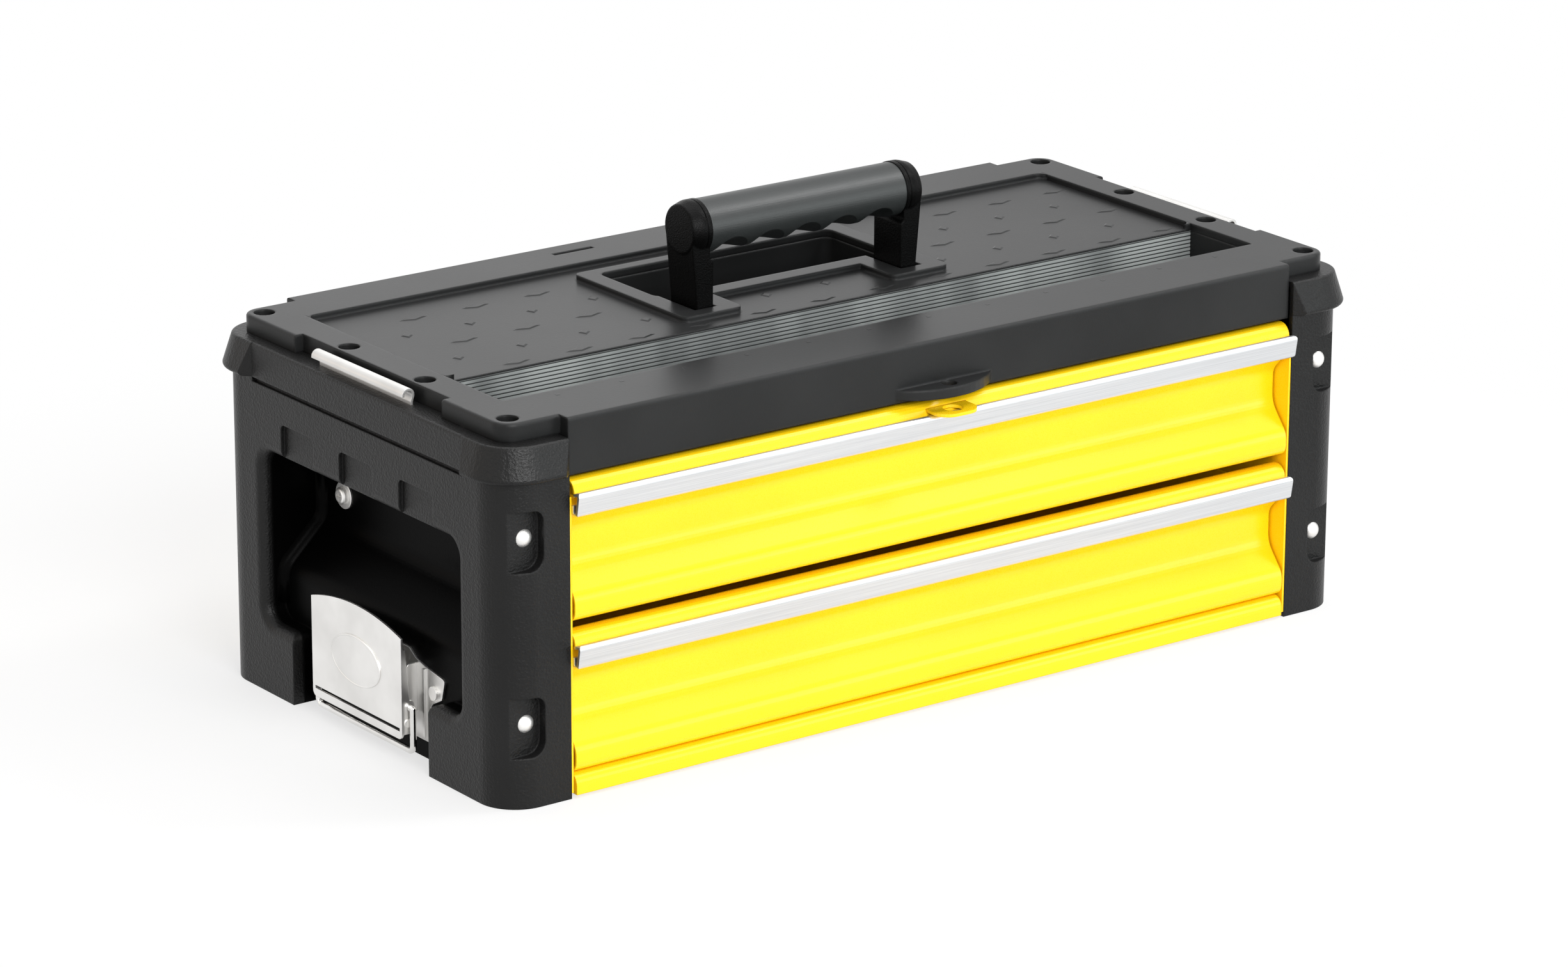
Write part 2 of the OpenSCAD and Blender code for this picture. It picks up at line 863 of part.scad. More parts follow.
module cover() {
    difference() {
        union() {
            difference() {
                union() {
                    cover_block();
                    along_z(skirt_z, ledge_z) square([2 * skirt_x, 2 * skirt_y], center = true);
                }
                along_z(skirt_z - cut, panel_z - wall) intersection() {
                    cover_plan(-wall);
                    union() {
                        square([2 * (skirt_x - wall), 2 * skirt_y], center = true);
                        square([2 * block_x, 2 * (skirt_y - skirt_return)], center = true);
                    }
                }
                along_z(ledge_z - cut, panel_z - wall) cover_plan(-wall);
                along_z(skirt_z - cut, ledge_z)
                    square([2 * (skirt_x + cut), 2 * (skirt_y - skirt_return)], center = true);
                along_z(panel_z - wall - cut, top_z - wall)
                    translate([wall - skirt_x, wall - skirt_y])
                        square([2 * (skirt_x - wall), skirt_y + channel_front - 2 * wall]);
            }
            hasp();
            intersection() {
                cover_screw_places() translate([0, 0, ledge_z])
                    cylinder(h = top_z - ledge_z, r = cover_boss_r, $fn = small_fn);
                along_z(ledge_z, top_z) cover_plan(0);
            }
        }
        along_z(panel_z, top_z + cut) difference() {
            polygon(slab(-panel_x, panel_x, panel_front, panel_back, panel_r));
            surround_plan();
        }
        along_z(panel_z - wall - cut, rim_z) {
            channel_plan(wall);
            well_plan(wall);
            pin_block_plan();
        }
        along_z(panel_z - wall - cut, top_z + cut) {
            channel_plan(0);
            well_plan(0);
            post_pocket_plan(0);
        }
        translate([rear_slot_x, rear_slot_y, top_z - wall - cut])
            linear_extrude(wall + 2 * cut) square([rear_slot_w, rear_slot_h], center = true);
        cover_screw_places() {
            translate([0, 0, top_z - cover_bore_depth])
                cylinder(h = cover_bore_depth + cut, d = cover_bore_d, $fn = small_fn);
            translate([0, 0, ledge_z - cut]) cylinder(h = block_h, d = screw_hole_d, $fn = small_fn);
        }
    }
}

// The cover is moulded in four parts that meet at the edges of the tool channel
module cover_part(low, high) {
    color([0.1, 0.11, 0.11]) in_place() intersection() {
        cover();
        between([low[0], low[1], skirt_z - cut], [high[0], high[1], top_z + cut]);
    }
}

module top_cover() {
    cover_part([-channel_x, channel_back], [channel_x, case_d]);
}

module cover_front_rail() {
    cover_part([-case_w, -case_d], [case_w, channel_front]);
}

module cover_side_rail() {
    cover_part([channel_x, channel_front], [case_w, case_d]);
}

// Tub of the long tool channel, ribbed on its rear wall
module channel_panel(low, high) {
    color([0.3, 0.32, 0.32]) in_place() between(low, high);
}

module channel_bottom() {
    reach = channel_x + wall;
    channel_panel([-reach, channel_front - wall, channel_floor - wall],
        [reach, channel_back + wall, channel_floor]);
}

module channel_wall_front() {
    reach = channel_x + wall;
    channel_panel([-reach, channel_front - wall, channel_floor], [reach, channel_front, rim_z]);
}

module channel_wall_rear() {
    reach = channel_x + wall;
    difference() {
        channel_panel([-reach, channel_back, channel_floor], [reach, channel_back + wall, rim_z]);
        in_place() for (i = [0:channel_ribs - 1])
            translate([0, channel_back, top_z - rib_first - i * rib_pitch])
                between([-channel_x, -cut, -rib_groove], [channel_x, rib_sunk, 0]);
    }
}

module channel_ends() {
    for (side = [0, 1]) mirror([side, 0, 0])
        channel_panel([channel_x, channel_front, channel_floor], [channel_x + wall, channel_back, rim_z]);
}

// Well for the folded grip, with the blocks that hold the hinge pins
module handle_base() {
    color([0.1, 0.11, 0.11]) in_place() difference() {
        union() {
            along_z(well_floor - wall, rim_z) well_plan(wall);
            along_z(pocket_floor - wall, rim_z) pin_block_plan();
        }
        along_z(well_floor, rim_z + cut) well_plan(0);
        along_z(pocket_floor, rim_z + cut) post_pocket_plan(0);
        for (s = [-1, 1]) translate([s * pin_mid, hinge_y, hinge_z])
            rod_x(-pin_len / 2, pin_len / 2, pin_d / 2 + hinge_clear / 2);
    }
}

module cover_screws() {
    color([0.15, 0.15, 0.16]) in_place() cover_screw_places() {
        translate([0, 0, top_z - cover_bore_depth])
            cylinder(h = screw_head_h, d = screw_head_d, $fn = small_fn);
        translate([0, 0, top_z - cover_bore_depth - screw_len + cut])
            cylinder(h = screw_len - cut, d = screw_shank_d, $fn = small_fn);
    }
}

module handle_pins() {
    color("silver") in_place() for (s = [-1, 1])
        translate([s * pin_mid, hinge_y, hinge_z])
            rod_x(-pin_len / 2 + seat_gap, pin_len / 2 - seat_gap, pin_d / 2);
}

// Handle
module handle_post() {
    top = hinge_z + handle_reach;
    out = post_x + handle_post_t;
    intersection() {
        along_x(post_x, out) {
            translate([hinge_y, hinge_z]) circle(post_r, $fn = round_fn);
            translate([hinge_y - post_r, hinge_z]) square([post_deep, handle_reach]);
        }
        along_y(hinge_y - post_deep, hinge_y + post_deep) polygon([
            [post_x, hinge_z - post_deep], [out - handle_taper, hinge_z - post_deep],
            [out - handle_taper, hinge_z + taper_low], [out, hinge_z + taper_high], [out, top],
            [knob_x, top], [knob_x, top - knob_r], [post_x, top - knob_r - knob_step]
        ]);
    }
}

// Round end of a post, in line with the grip
module handle_knob() {
    out = post_x + handle_post_t;
    line = knob_x + knob_line_in;
    translate([0, hinge_y, hinge_z + handle_reach]) rotate([0, 90, 0]) rotate_extrude($fn = round_fn)
        polygon(path([
            [0, knob_x, 0], [knob_r, knob_x, 0], [knob_r, line, 0], [knob_r - knob_line_depth, line, 0],
            [knob_r - knob_line_depth, line + knob_line_w, 0], [knob_r, line + knob_line_w, 0],
            [knob_r, knob_x + knob_flat, knob_bend], [knob_r - knob_end_drop, out, knob_edge_r], [0, out, 0]
        ]));
}

module handle_frame() {
    color([0.12, 0.12, 0.13]) in_place() difference() {
        union() {
            for (side = [0, 1]) mirror([side, 0, 0]) {
                handle_post();
                handle_knob();
            }
            translate([0, hinge_y, hinge_z + handle_reach]) rod_x(-knob_x - cut, knob_x + cut, core_r);
        }
        for (side = [0, 1]) mirror([side, 0, 0])
            translate([0, hinge_y, hinge_z])
                rod_x(post_x - cut, post_x + handle_post_t + cut, pin_d / 2 + hinge_clear);
    }
}

module handle_grip() {
    color([0.2, 0.2, 0.21]) in_place() translate([0, hinge_y, hinge_z + handle_reach]) difference() {
        rod_x(-knob_x, knob_x, grip_r);
        rod_x(-knob_x - cut, knob_x + cut, core_r);
        rotate([-groove_turn, 0, 0]) for (i = [0:grooves - 1])
            translate([(i - (grooves - 1) / 2) * groove_pitch, 0, -grip_r - groove_r + groove_depth_grip])
                rod_y(-grip_d, grip_d, groove_r);
    }
}

// Drawers
function front_path(z) = let (top = z + drawer_h) path([
    [tray_front_y, top - roll_leg, 0], [tray_front_y, top, roll_back_r],
    [roll_y, top, roll_front_r], [roll_y, top - ledge_drop, ledge_r],
    [roll_y + ledge_in, top - ledge_drop, neck_top_r], [roll_y + ledge_in, top - neck_drop, neck_r],
    [band_y, top - band_top_drop, band_top_r], [band_y, z + band_low_up, band_low_r],
    [roll_y, z + bulge_up, bulge_r], [roll_y, z, bulge_low_r], [roll_y + front_flange, z, 0]
]);

module drawer_front(z) {
    skin = front_path(z);
    color([0.98, 0.8, 0.05]) in_place() {
        along_x(-front_x, front_x) polygon(sheet(skin, sheet_t));
        for (s = [0, 1]) mirror([s, 0, 0])
            along_x(front_x - 2 * sheet_t, front_x - sheet_t) polygon(moved(skin, sheet_t / 2));
    }
}

module drawer_front_upper() {
    slot_low = fronts_top - tab_drop - tab_sheet_t / 2 - tab_slot_gap;
    difference() {
        drawer_front(upper_z);
        in_place() between([-tab_half - tab_slot_gap, roll_y - cut, slot_low],
            [tab_half + tab_slot_gap, roll_y + roll_w / 2, slot_low + tab_sheet_t + 2 * tab_slot_gap]);
    }
}

module drawer_tray(z) {
    floor_z = z + sheet_t;
    front = tray_front_y;
    color([0.98, 0.8, 0.05]) in_place() difference() {
        between([-tray_x, front, floor_z], [tray_x, tray_back_y, floor_z + tray_h]);
        between([-tray_x + sheet_t, front + sheet_t, floor_z + sheet_t],
            [tray_x - sheet_t, tray_back_y - sheet_t, floor_z + tray_h + cut]);
    }
}

module drawer_pull(z) {
    top = z + drawer_h;
    neck_y = roll_y - hook_gap;
    low_y = pull_front_y + pull_slope;
    low = top - pull_top - pull_h;
    section = path([
        [neck_y, top - pull_neck, 0], [pull_front_y, top - pull_top, pull_r], [low_y, low, pull_r],
        [low_y + pull_return, low, pull_r], [low_y + pull_return, low + pull_lip, 0]
    ]);
    clip = path([
        [pull_back_y, top - hook_z - clip_lip, 0], [pull_back_y, top - hook_z, pull_t + bend_spare],
        [neck_y, top - hook_z, 0], [neck_y, top - pull_neck, 0]
    ]);
    heights = [for (p = section) p[1]];
    color([0.9, 0.91, 0.92]) in_place() {
        intersection() {
            along_x(-pull_x, pull_x) polygon(sheet(section, pull_t));
            along_y(pull_front_y - cut, tray_front_y)
                polygon(slab(-pull_x, pull_x, min(heights), max(heights), pull_end_r));
        }
        along_x(clip_in - pull_x, pull_x - clip_in) polygon(sheet(clip, pull_t));
    }
}

module hasp_tab() {
    z = fronts_top - tab_drop;
    color([0.98, 0.8, 0.05]) in_place() difference() {
        along_z(z - tab_sheet_t / 2, z + tab_sheet_t / 2) polygon(loop([
            [-tab_half, tab_back_y, 0], [-tab_half, -tab_reach, tab_corner_r],
            [tab_half, -tab_reach, tab_corner_r], [tab_half, tab_back_y, 0]
        ]));
        translate([0, -tab_reach + tab_hole_back, z - tab_sheet_t])
            cylinder(h = 2 * tab_sheet_t, r = tab_hole_r, $fn = small_fn);
    }
}

// Runners, drawn on the right side
module runner_outer(z) {
    mid = z + runner_up;
    half = runner_h / 2;
    color("silver") in_place() along_y(runner_front, runner_front + runner_len) difference() {
        translate([panel_in - runner_lip, mid - half]) square([runner_lip, runner_h]);
        translate([panel_in - runner_lip - cut, mid - half + sheet_t])
            square([runner_lip - sheet_t + cut, runner_h - 2 * sheet_t]);
    }
}

module runner_inner(z) {
    mid = z + runner_up;
    half = inner_h / 2;
    color("silver") in_place() along_y(inner_front, inner_front + runner_len) difference() {
        translate([tray_x, mid - half]) square([inner_lip, inner_h]);
        translate([tray_x + sheet_t, mid - half + sheet_t]) square([inner_lip, inner_h - 2 * sheet_t]);
    }
}

module ball_cage(z) {
    mid = z + runner_up;
    row = inner_h / 2 + race_gap / 2;
    web_out = panel_in - sheet_t - cage_web_gap;
    ball_x = panel_in - runner_lip + ball_r + ball_in;
    color([0.7, 0.65, 0.5]) in_place() {
        between([web_out - cage_t, cage_front, mid - row], [web_out, cage_front + cage_len, mid + row]);
        for (s = [-1, 1]) translate([0, 0, mid + s * row]) {
            between([ball_x - ball_r, cage_front, -cage_t / 2], [web_out, cage_front + cage_len, cage_t / 2]);
            for (i = [1:cage_balls])
                translate([ball_x, cage_front + cage_len * i / (cage_balls + 1), 0])
                    sphere(ball_r, $fn = small_fn);
        }
    }
}

// Draw latches, drawn on the right side
module latch_base() {
    half = [
        [base_leg_y, base_low, base_bend_r], [base_leg_y, base_wing_low, foot_r],
        [base_wing_in_y, base_wing_mid, base_bend_r], [base_wing_y, base_wing_high, base_bend_r],
        [base_neck_y, base_neck_z, foot_r], [base_slope_y, base_slope_z, foot_r / 2],
        [base_top_y, base_top, foot_r / 2]
    ];
    other = [for (i = [len(half) - 1:-1:0]) [-half[i][0], half[i][1], half[i][2]]];
    color([0.86, 0.87, 0.88]) in_latch_place() translate([latch_x, 0, 0]) difference() {
        union() {
            difference() {
                along_x(0, latch_plate_t) polygon(loop(concat(half, other)));
                between([-cut, -base_window_y, -cut], [latch_plate_t + cut, base_window_y, base_window_top]);
            }
            front_and_back() {
                between([0, -ridge_y, base_low + base_bend_r],
                    [latch_plate_t + ridge_t, ridge_w - ridge_y, base_neck_z - cut]);
                along_y(-ear_y, ear_t - ear_y) {
                    translate([lever_pin_out, lever_pin_z]) circle(ear_r, $fn = small_fn);
                    polygon([
                        [0, lever_pin_z + ear_low_up], [lever_pin_out - ear_r, lever_pin_z],
                        [lever_pin_out, lever_pin_z - ear_r / 2], [lever_pin_out, lever_pin_z + ear_r / 2],
                        [ear_out, bail_z], [ear_out, ear_top - ear_r], [ear_out - ear_r, ear_top], [0, ear_top]
                    ]);
                }
            }
        }
        translate([lever_pin_out, 0, lever_pin_z]) rod_y(-base_wing_y, base_wing_y, lever_pin_r + hinge_clear);
        front_and_back() translate([0, -wing_rivet_y, wing_rivet_z])
            rod_x(-cut, latch_plate_t + cut, rivet_shank_d / 2 + hinge_clear);
    }
}

module latch_rivets() {
    color("silver") in_latch_place() for (side = [0, 1]) mirror([side, 0, 0]) front_and_back()
        translate([latch_x + latch_plate_t, -wing_rivet_y, wing_rivet_z]) {
            rod_x(0, wing_rivet_t, wing_rivet_r);
            rod_x(-latch_plate_t, 0, rivet_shank_d / 2);
        }
}

function ellipse_points(a, b, n) = [for (i = [0:n - 1]) [a * cos(360 * i / n), b * sin(360 * i / n)]];

module latch_lever() {
    half = lever_w / 2;
    top = lever_low + lever_h;
    arch_r = (half * half + lever_side_drop * lever_side_drop) / (2 * lever_side_drop);
    flange_top = top - lever_side_drop - 2 * lever_corner_r;
    color([0.86, 0.87, 0.88]) in_latch_place() translate([latch_x, 0, 0]) difference() {
        union() {
            along_x(lever_face - latch_plate_t, lever_face) difference() {
                intersection() {
                    polygon(slab(-half, half, lever_low, top, lever_corner_r));
                    translate([0, top - arch_r]) circle(arch_r, $fn = 4 * round_fn);
                }
                translate([-slot_half, slot_z]) square([2 * slot_half, slot_h]);
            }
            front_and_back() along_y(-half, -half + latch_plate_t) {
                polygon([
                    [lever_face - cut, lever_flange_z], [lever_flange_back, lever_flange_z],
                    [lever_flange_back, bail_z + lever_lug_r], [lever_face - 2 * latch_plate_t, flange_top],
                    [lever_face - cut, flange_top]
                ]);
                for (z = [lever_pin_z, bail_z]) polygon(slab(lever_lug_back, lever_face - cut,
                    z - lever_lug_r, z + lever_lug_r, lever_lug_r / 2));
            }
            along_x(lever_face - cut, lever_face + oval_proud) translate([0, oval_z])
                polygon(ellipse_points(oval_a, oval_b, round_fn));
        }
        translate([lever_pin_out, 0, lever_pin_z]) rod_y(-half - cut, half + cut, lever_pin_r + hinge_clear);
        translate([bail_out, 0, bail_z]) rod_y(-half - cut, half + cut, bail_wire_d / 2 + hinge_clear);
    }
}

module lever_pins() {
    half = lever_w / 2;
    color("silver") in_latch_place() translate([latch_x + lever_pin_out, 0, lever_pin_z]) front_and_back() {
        rod_y(-half, ear_t + seat_gap - ear_y, lever_pin_r);
        rod_y(-half - rivet_head_t, -half, rivet_head_r);
    }
}

module latch_bail() {
    r = bail_wire_d / 2;
    color([0.86, 0.87, 0.88]) in_latch_place() translate([latch_x + bail_out, 0, 0]) {
        front_and_back() {
            translate([0, 0, bail_z]) rod_y(-bail_leg_y, -bail_in, r);
            translate([0, -bail_leg_y, bail_z]) sphere(r, $fn = small_fn);
            translate([0, -bail_leg_y, bail_low + bail_bend_r])
                cylinder(h = bail_z - bail_low - bail_bend_r, r = r, $fn = round_fn);
            translate([0, -bail_leg_y + bail_bend_r, bail_low + bail_bend_r]) rotate([0, 90, 0])
                rotate_extrude(angle = -90, $fn = round_fn) translate([0, 0]) bail_bend_section(r);
        }
        translate([0, 0, bail_low]) rod_y(-bail_leg_y + bail_bend_r, bail_leg_y - bail_bend_r, r);
    }
}

module bail_bend_section(r) {
    translate([bail_bend_r, 0]) circle(r, $fn = small_fn);
}

// Catch plates beside the cover's side insets, hooked outward, drawn on the right side
module catch_plate() {
    back = catch_leg_x - catch_kink;
    front = back + 2 * catch_hook_r + catch_hook_flat;
    hook_top = ledge_z + catch_hook_up;
    section = path([
        [catch_leg_x, ledge_z - catch_leg_depth, 0], [catch_leg_x, ledge_z + catch_kink_low, catch_kink_r],
        [back, ledge_z + catch_kink_high, catch_kink_r / 2], [back, hook_top, catch_hook_r],
        [front, hook_top, catch_hook_r], [front, ledge_z + catch_hook_low, 0]
    ]);
    color([0.86, 0.87, 0.88]) in_latch_place()
        along_y(-catch_y, catch_y) polygon(sheet(section, latch_plate_t));
}

// Domed rivets in the post pockets
module post_rivet() {
    r = post_rivet_d / 2;
    dome_r = (r * r + rivet_dome * rivet_dome) / (2 * rivet_dome);
    rod_y(0, rivet_shank, rivet_shank_d / 2 - seat_gap / 3);
    intersection() {
        translate([0, dome_r - rivet_dome, 0]) sphere(dome_r, $fn = round_fn);
        rod_y(-rivet_dome - cut, 0, r + cut);
    }
}

module post_rivets() {
    color("silver") in_place() for (side = [0, 1]) mirror([side, 0, 0])
        at_pockets() translate([rivet_x, -pocket_floor_y, rivet_up]) post_rivet();
}

on_left() end_cap();  // end_cap_left
end_cap();  // end_cap_right
on_left() side_panel();  // side_panel_left
side_panel();  // side_panel_right
back_panel();
base_pan();
top_cover();
cover_front_rail();
on_left() cover_side_rail();  // cover_side_rail_left
cover_side_rail();  // cover_side_rail_right
channel_bottom();
channel_wall_front();
channel_wall_rear();
channel_ends();
handle_base();
on_left() recess_liner();  // recess_liner_left
recess_liner();  // recess_liner_right
cover_screws();
post_rivets();
recess_screws();
on_left() catch_plate();  // catch_plate_left
catch_plate();  // catch_plate_right
on_left() latch_base();  // latch_base_left
latch_base();  // latch_base_right
latch_rivets();
on_left() runner_outer(upper_z);  // runner_outer_upper_left
runner_outer(upper_z);  // runner_outer_upper_right
on_left() runner_outer(lower_z);  // runner_outer_lower_left
runner_outer(lower_z);  // runner_outer_lower_right
handle_pins();
handle_frame();
handle_grip();
on_left() latch_lever();  // latch_lever_left
latch_lever();  // latch_lever_right
on_left() lever_pins();  // lever_pins_left
lever_pins();  // lever_pins_right
on_left() latch_bail();  // latch_bail_left
latch_bail();  // latch_bail_right
drawer_tray(upper_z);  // drawer_tray_upper
drawer_tray(lower_z);  // drawer_tray_lower
drawer_front_upper();
drawer_front(lower_z);  // drawer_front_lower
drawer_pull(upper_z);  // drawer_pull_upper
drawer_pull(lower_z);  // drawer_pull_lower
hasp_tab();
on_left() runner_inner(upper_z);  // runner_inner_upper_left
runner_inner(upper_z);  // runner_inner_upper_right
on_left() runner_inner(lower_z);  // runner_inner_lower_left
runner_inner(lower_z);  // runner_inner_lower_right
on_left() ball_cage(upper_z);  // ball_cage_upper_left
ball_cage(upper_z);  // ball_cage_upper_right
on_left() ball_cage(lower_z);  // ball_cage_lower_left
ball_cage(lower_z);  // ball_cage_lower_right
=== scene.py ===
import bpy
import bmesh
import json
import math
from mathutils import Matrix, Vector


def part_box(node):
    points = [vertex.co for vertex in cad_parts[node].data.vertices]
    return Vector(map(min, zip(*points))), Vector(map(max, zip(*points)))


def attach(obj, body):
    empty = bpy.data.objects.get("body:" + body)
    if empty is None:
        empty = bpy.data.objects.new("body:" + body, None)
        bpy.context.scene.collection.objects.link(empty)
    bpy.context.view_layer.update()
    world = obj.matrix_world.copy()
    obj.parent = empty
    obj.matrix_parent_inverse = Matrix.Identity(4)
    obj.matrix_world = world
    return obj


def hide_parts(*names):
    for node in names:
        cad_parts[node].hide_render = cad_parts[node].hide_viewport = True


print("loading the case")
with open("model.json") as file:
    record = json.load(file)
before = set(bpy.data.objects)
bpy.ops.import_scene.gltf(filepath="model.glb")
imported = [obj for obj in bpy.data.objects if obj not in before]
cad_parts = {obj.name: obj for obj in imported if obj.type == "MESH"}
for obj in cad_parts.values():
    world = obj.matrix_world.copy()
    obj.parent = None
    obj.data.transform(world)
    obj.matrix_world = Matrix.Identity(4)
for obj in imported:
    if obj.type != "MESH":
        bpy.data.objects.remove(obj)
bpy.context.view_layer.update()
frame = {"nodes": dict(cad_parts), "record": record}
nodes = frame["nodes"]
mm = 0.001
hair = 0.1 * mm                                # a margin thinner than any wall
capLow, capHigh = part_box("end_cap_left")
midY = (capLow[1] + capHigh[1]) / 2            # the case's own middle, front to back
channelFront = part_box("cover_front_rail")[1][1]
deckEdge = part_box("top_cover")[1][0]
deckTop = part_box("top_cover")[1][2]


# A socket that works in Python expressions
class Wire:
    def __init__(self, bench, socket):
        self.bench, self.socket = bench, socket

    def sums(self, operation, *values):
        return self.bench.add("ShaderNodeMath", {"operation": operation}, dict(enumerate(values)))

    def __add__(self, other):
        return self.sums("ADD", self, other)

    def __radd__(self, other):
        return self.sums("ADD", other, self)

    def __sub__(self, other):
        return self.sums("SUBTRACT", self, other)

    def __rsub__(self, other):
        return self.sums("SUBTRACT", other, self)

    def __mul__(self, other):
        return self.sums("MULTIPLY", self, other)

    def __rmul__(self, other):
        return self.sums("MULTIPLY", other, self)

    def __truediv__(self, other):
        return self.sums("DIVIDE", self, other)

    def __rtruediv__(self, other):
        return self.sums("DIVIDE", other, self)

    def sine(self):
        return self.sums("SINE", self)

    def size(self):
        return self.sums("ABSOLUTE", self)

    def fract(self):
        return self.sums("FRACT", self)

    def above(self, other):
        return self.sums("GREATER_THAN", self, other)

    def below(self, other):
        return self.sums("LESS_THAN", self, other)

    def most(self, other):
        return self.sums("MAXIMUM", self, other)

    def fade(self, low, high, start=0.0, end=1.0):       # start to end as the value goes low to high
        return self.bench.add("ShaderNodeMapRange", {"clamp": True, "interpolation_type": "SMOOTHSTEP"},
                              {"Value": self, "From Min": low, "From Max": high,
                               "To Min": start, "To Max": end})


# A node tree, where one method makes any node
class Bench:
    def __init__(self, tree):
        self.tree = tree
        self.tree.nodes.clear()

    def find(self, sockets, name):
        if isinstance(name, int):
            return sockets[name]
        for socket in sockets:
            if name in (socket.identifier, socket.name):
                return socket
        raise KeyError(name)

    def add(self, kind, settings=None, inputs=None, out=0):
        node = self.tree.nodes.new(kind)
        for name, value in (settings or {}).items():
            setattr(node, name, value)
        for name, value in (inputs or {}).items():
            socket = self.find(node.inputs, name)
            if isinstance(value, Wire):
                self.tree.links.new(value.socket, socket)
            else:
                socket.default_value = value
        return Wire(self, self.find(node.outputs, out)) if node.outputs else node

    def backdropRays(self):                    # 1 for the rays that see the white background
        seen = self.add("ShaderNodeLightPath", out="Is Camera Ray")
        for ray in ("Is Glossy Ray", "Is Transmission Ray"):
            seen = seen.most(self.add("ShaderNodeLightPath", out=ray))
        return seen


class Finish(Bench):
    def __init__(self, name):
        self.material = bpy.data.materials.new(name)
        self.material.use_nodes = True
        super().__init__(self.material.node_tree)
        self.place = self.add("ShaderNodeTexCoord", out="Object")

    def along(self, axis):
        return self.add("ShaderNodeSeparateXYZ", inputs={0: self.place}, out=axis)

    def stretched(self, scale):
        return self.add("ShaderNodeMapping", inputs={"Vector": self.place, "Scale": scale})

    def noise(self, scale, detail=3.0, rough=0.5, vector=None):
        return self.add("ShaderNodeTexNoise", inputs={"Vector": vector or self.place, "Scale": scale,
                                                      "Detail": detail, "Roughness": rough})

    def cells(self, scale):
        return self.add("ShaderNodeTexVoronoi", inputs={"Vector": self.place, "Scale": scale},
                        out="Distance")

    def blend(self, share, first, second):               # colours
        return self.add("ShaderNodeMix", {"data_type": "RGBA"},
                        {"Factor_Float": share, "A_Color": first, "B_Color": second}, "Result_Color")

    def either(self, share, first, second):              # vectors
        return self.add("ShaderNodeMix", {"data_type": "VECTOR"},
                        {"Factor_Float": share, "A_Vector": first, "B_Vector": second}, "Result_Vector")

    def soft(self, radius):                              # rounds the edges in the shading
        return self.add("ShaderNodeBevel", {"samples": 4}, {"Radius": radius})

    def relief(self, height, depth, under):
        return self.add("ShaderNodeBump", inputs={"Height": height, "Distance": depth, "Normal": under})

    def close(self, inputs):
        return self.show(self.add("ShaderNodeBsdfPrincipled", inputs=inputs))

    def show(self, shader):
        self.add("ShaderNodeOutputMaterial", inputs={"Surface": shader})
        return self.material


def shade(red, green, blue):
    return (red, green, blue, 1.0)


def grey(tone):
    return shade(tone, tone, tone)


print("mixing the finishes")
plastic = {"dark": grey(0.0042), "light": grey(0.0075), "patches": 9.0, "fade": (0.3, 0.7),
           "grain": 1.3 * mm, "depth": 0.16 * mm, "smaller": 2.3, "smallShare": 0.5, "finer": 3.5,
           "fineShare": 0.4, "rough": 0.3, "roughSpread": 0.14, "shine": 0.24, "edge": 1.2 * mm}
mouldings = {
    "end_cap_plastic": plastic,
    "handle_plastic": {**plastic, "dark": grey(0.001), "light": grey(0.002), "grain": 0.8 * mm,
                       "depth": 0.08 * mm, "rough": 0.24, "shine": 0.07, "edge": 1.6 * mm},
    # painted shade: the hollow's lining is the end-cap plastic made near black and dull where the hollow is
    # shaded
    "recess_painted_shade": {**plastic, "dark": grey(0.0008), "light": grey(0.0016), "depth": 0.02 * mm,
                       "rough": 0.26, "shine": 0.03, "edge": 1.5 * mm},
    "black_screws": {**plastic, "rough": 0.25, "shine": 0.6, "edge": 0.3 * mm},
}


def mouldedPlastic(name, look):
    f = Finish(name)
    pebble = f.cells(1 / look["grain"]) + look["smallShare"] * f.cells(look["smaller"] / look["grain"])
    patch = f.noise(look["patches"], detail=4.0)
    fine = f.noise(look["finer"] / look["grain"], detail=2.0)
    return f.close({
        "Base Color": f.blend(patch.fade(*look["fade"]), look["dark"], look["light"]),
        "Roughness": look["rough"] + look["roughSpread"] * patch,
        "Specular IOR Level": look["shine"],
        "Normal": f.relief(pebble + look["fineShare"] * fine, look["depth"], f.soft(look["edge"]))})


deck = {"dark": shade(0.012, 0.0124, 0.0126), "light": shade(0.018, 0.0185, 0.0188), "patches": 9.0,
        "fade": (0.3, 0.7), "grain": 0.5 * mm, "depth": 0.03 * mm, "coarser": 0.5, "coarseShare": 0.5,
        "rough": 0.27, "roughSpread": 0.14, "shine": 0.19, "edge": 1.8 * mm, "treadEdge": 0.25 * mm,
        "seam": 2 * mm, "rearSeam": 89 * mm}


def coverPlastic(name, edge):
    f = Finish(name)
    patch = f.noise(deck["patches"], detail=4.0)
    fine = f.noise(1 / deck["grain"], detail=3.0, rough=0.6)
    coarse = f.cells(deck["coarser"] / deck["grain"])
    x, y = f.along("X").size(), f.along("Y")
    across = (y - channelFront).size().below(deck["seam"]) * x.above(deckEdge - hair)
    behind = (x - deckEdge).size().below(deck["seam"]) * y.above(midY + deck["rearSeam"])
    flat = f.add("ShaderNodeNewGeometry", out="Normal")      # no soft edge where the cover's nodes meet
    edges = f.either(across.most(behind), f.soft(edge), flat)
    return f.close({
        "Base Color": f.blend(patch.fade(*deck["fade"]), deck["dark"], deck["light"]),
        "Roughness": deck["rough"] + deck["roughSpread"] * patch,
        "Specular IOR Level": deck["shine"],
        "Normal": f.relief(fine + deck["coarseShare"] * coarse, deck["depth"], edges)})
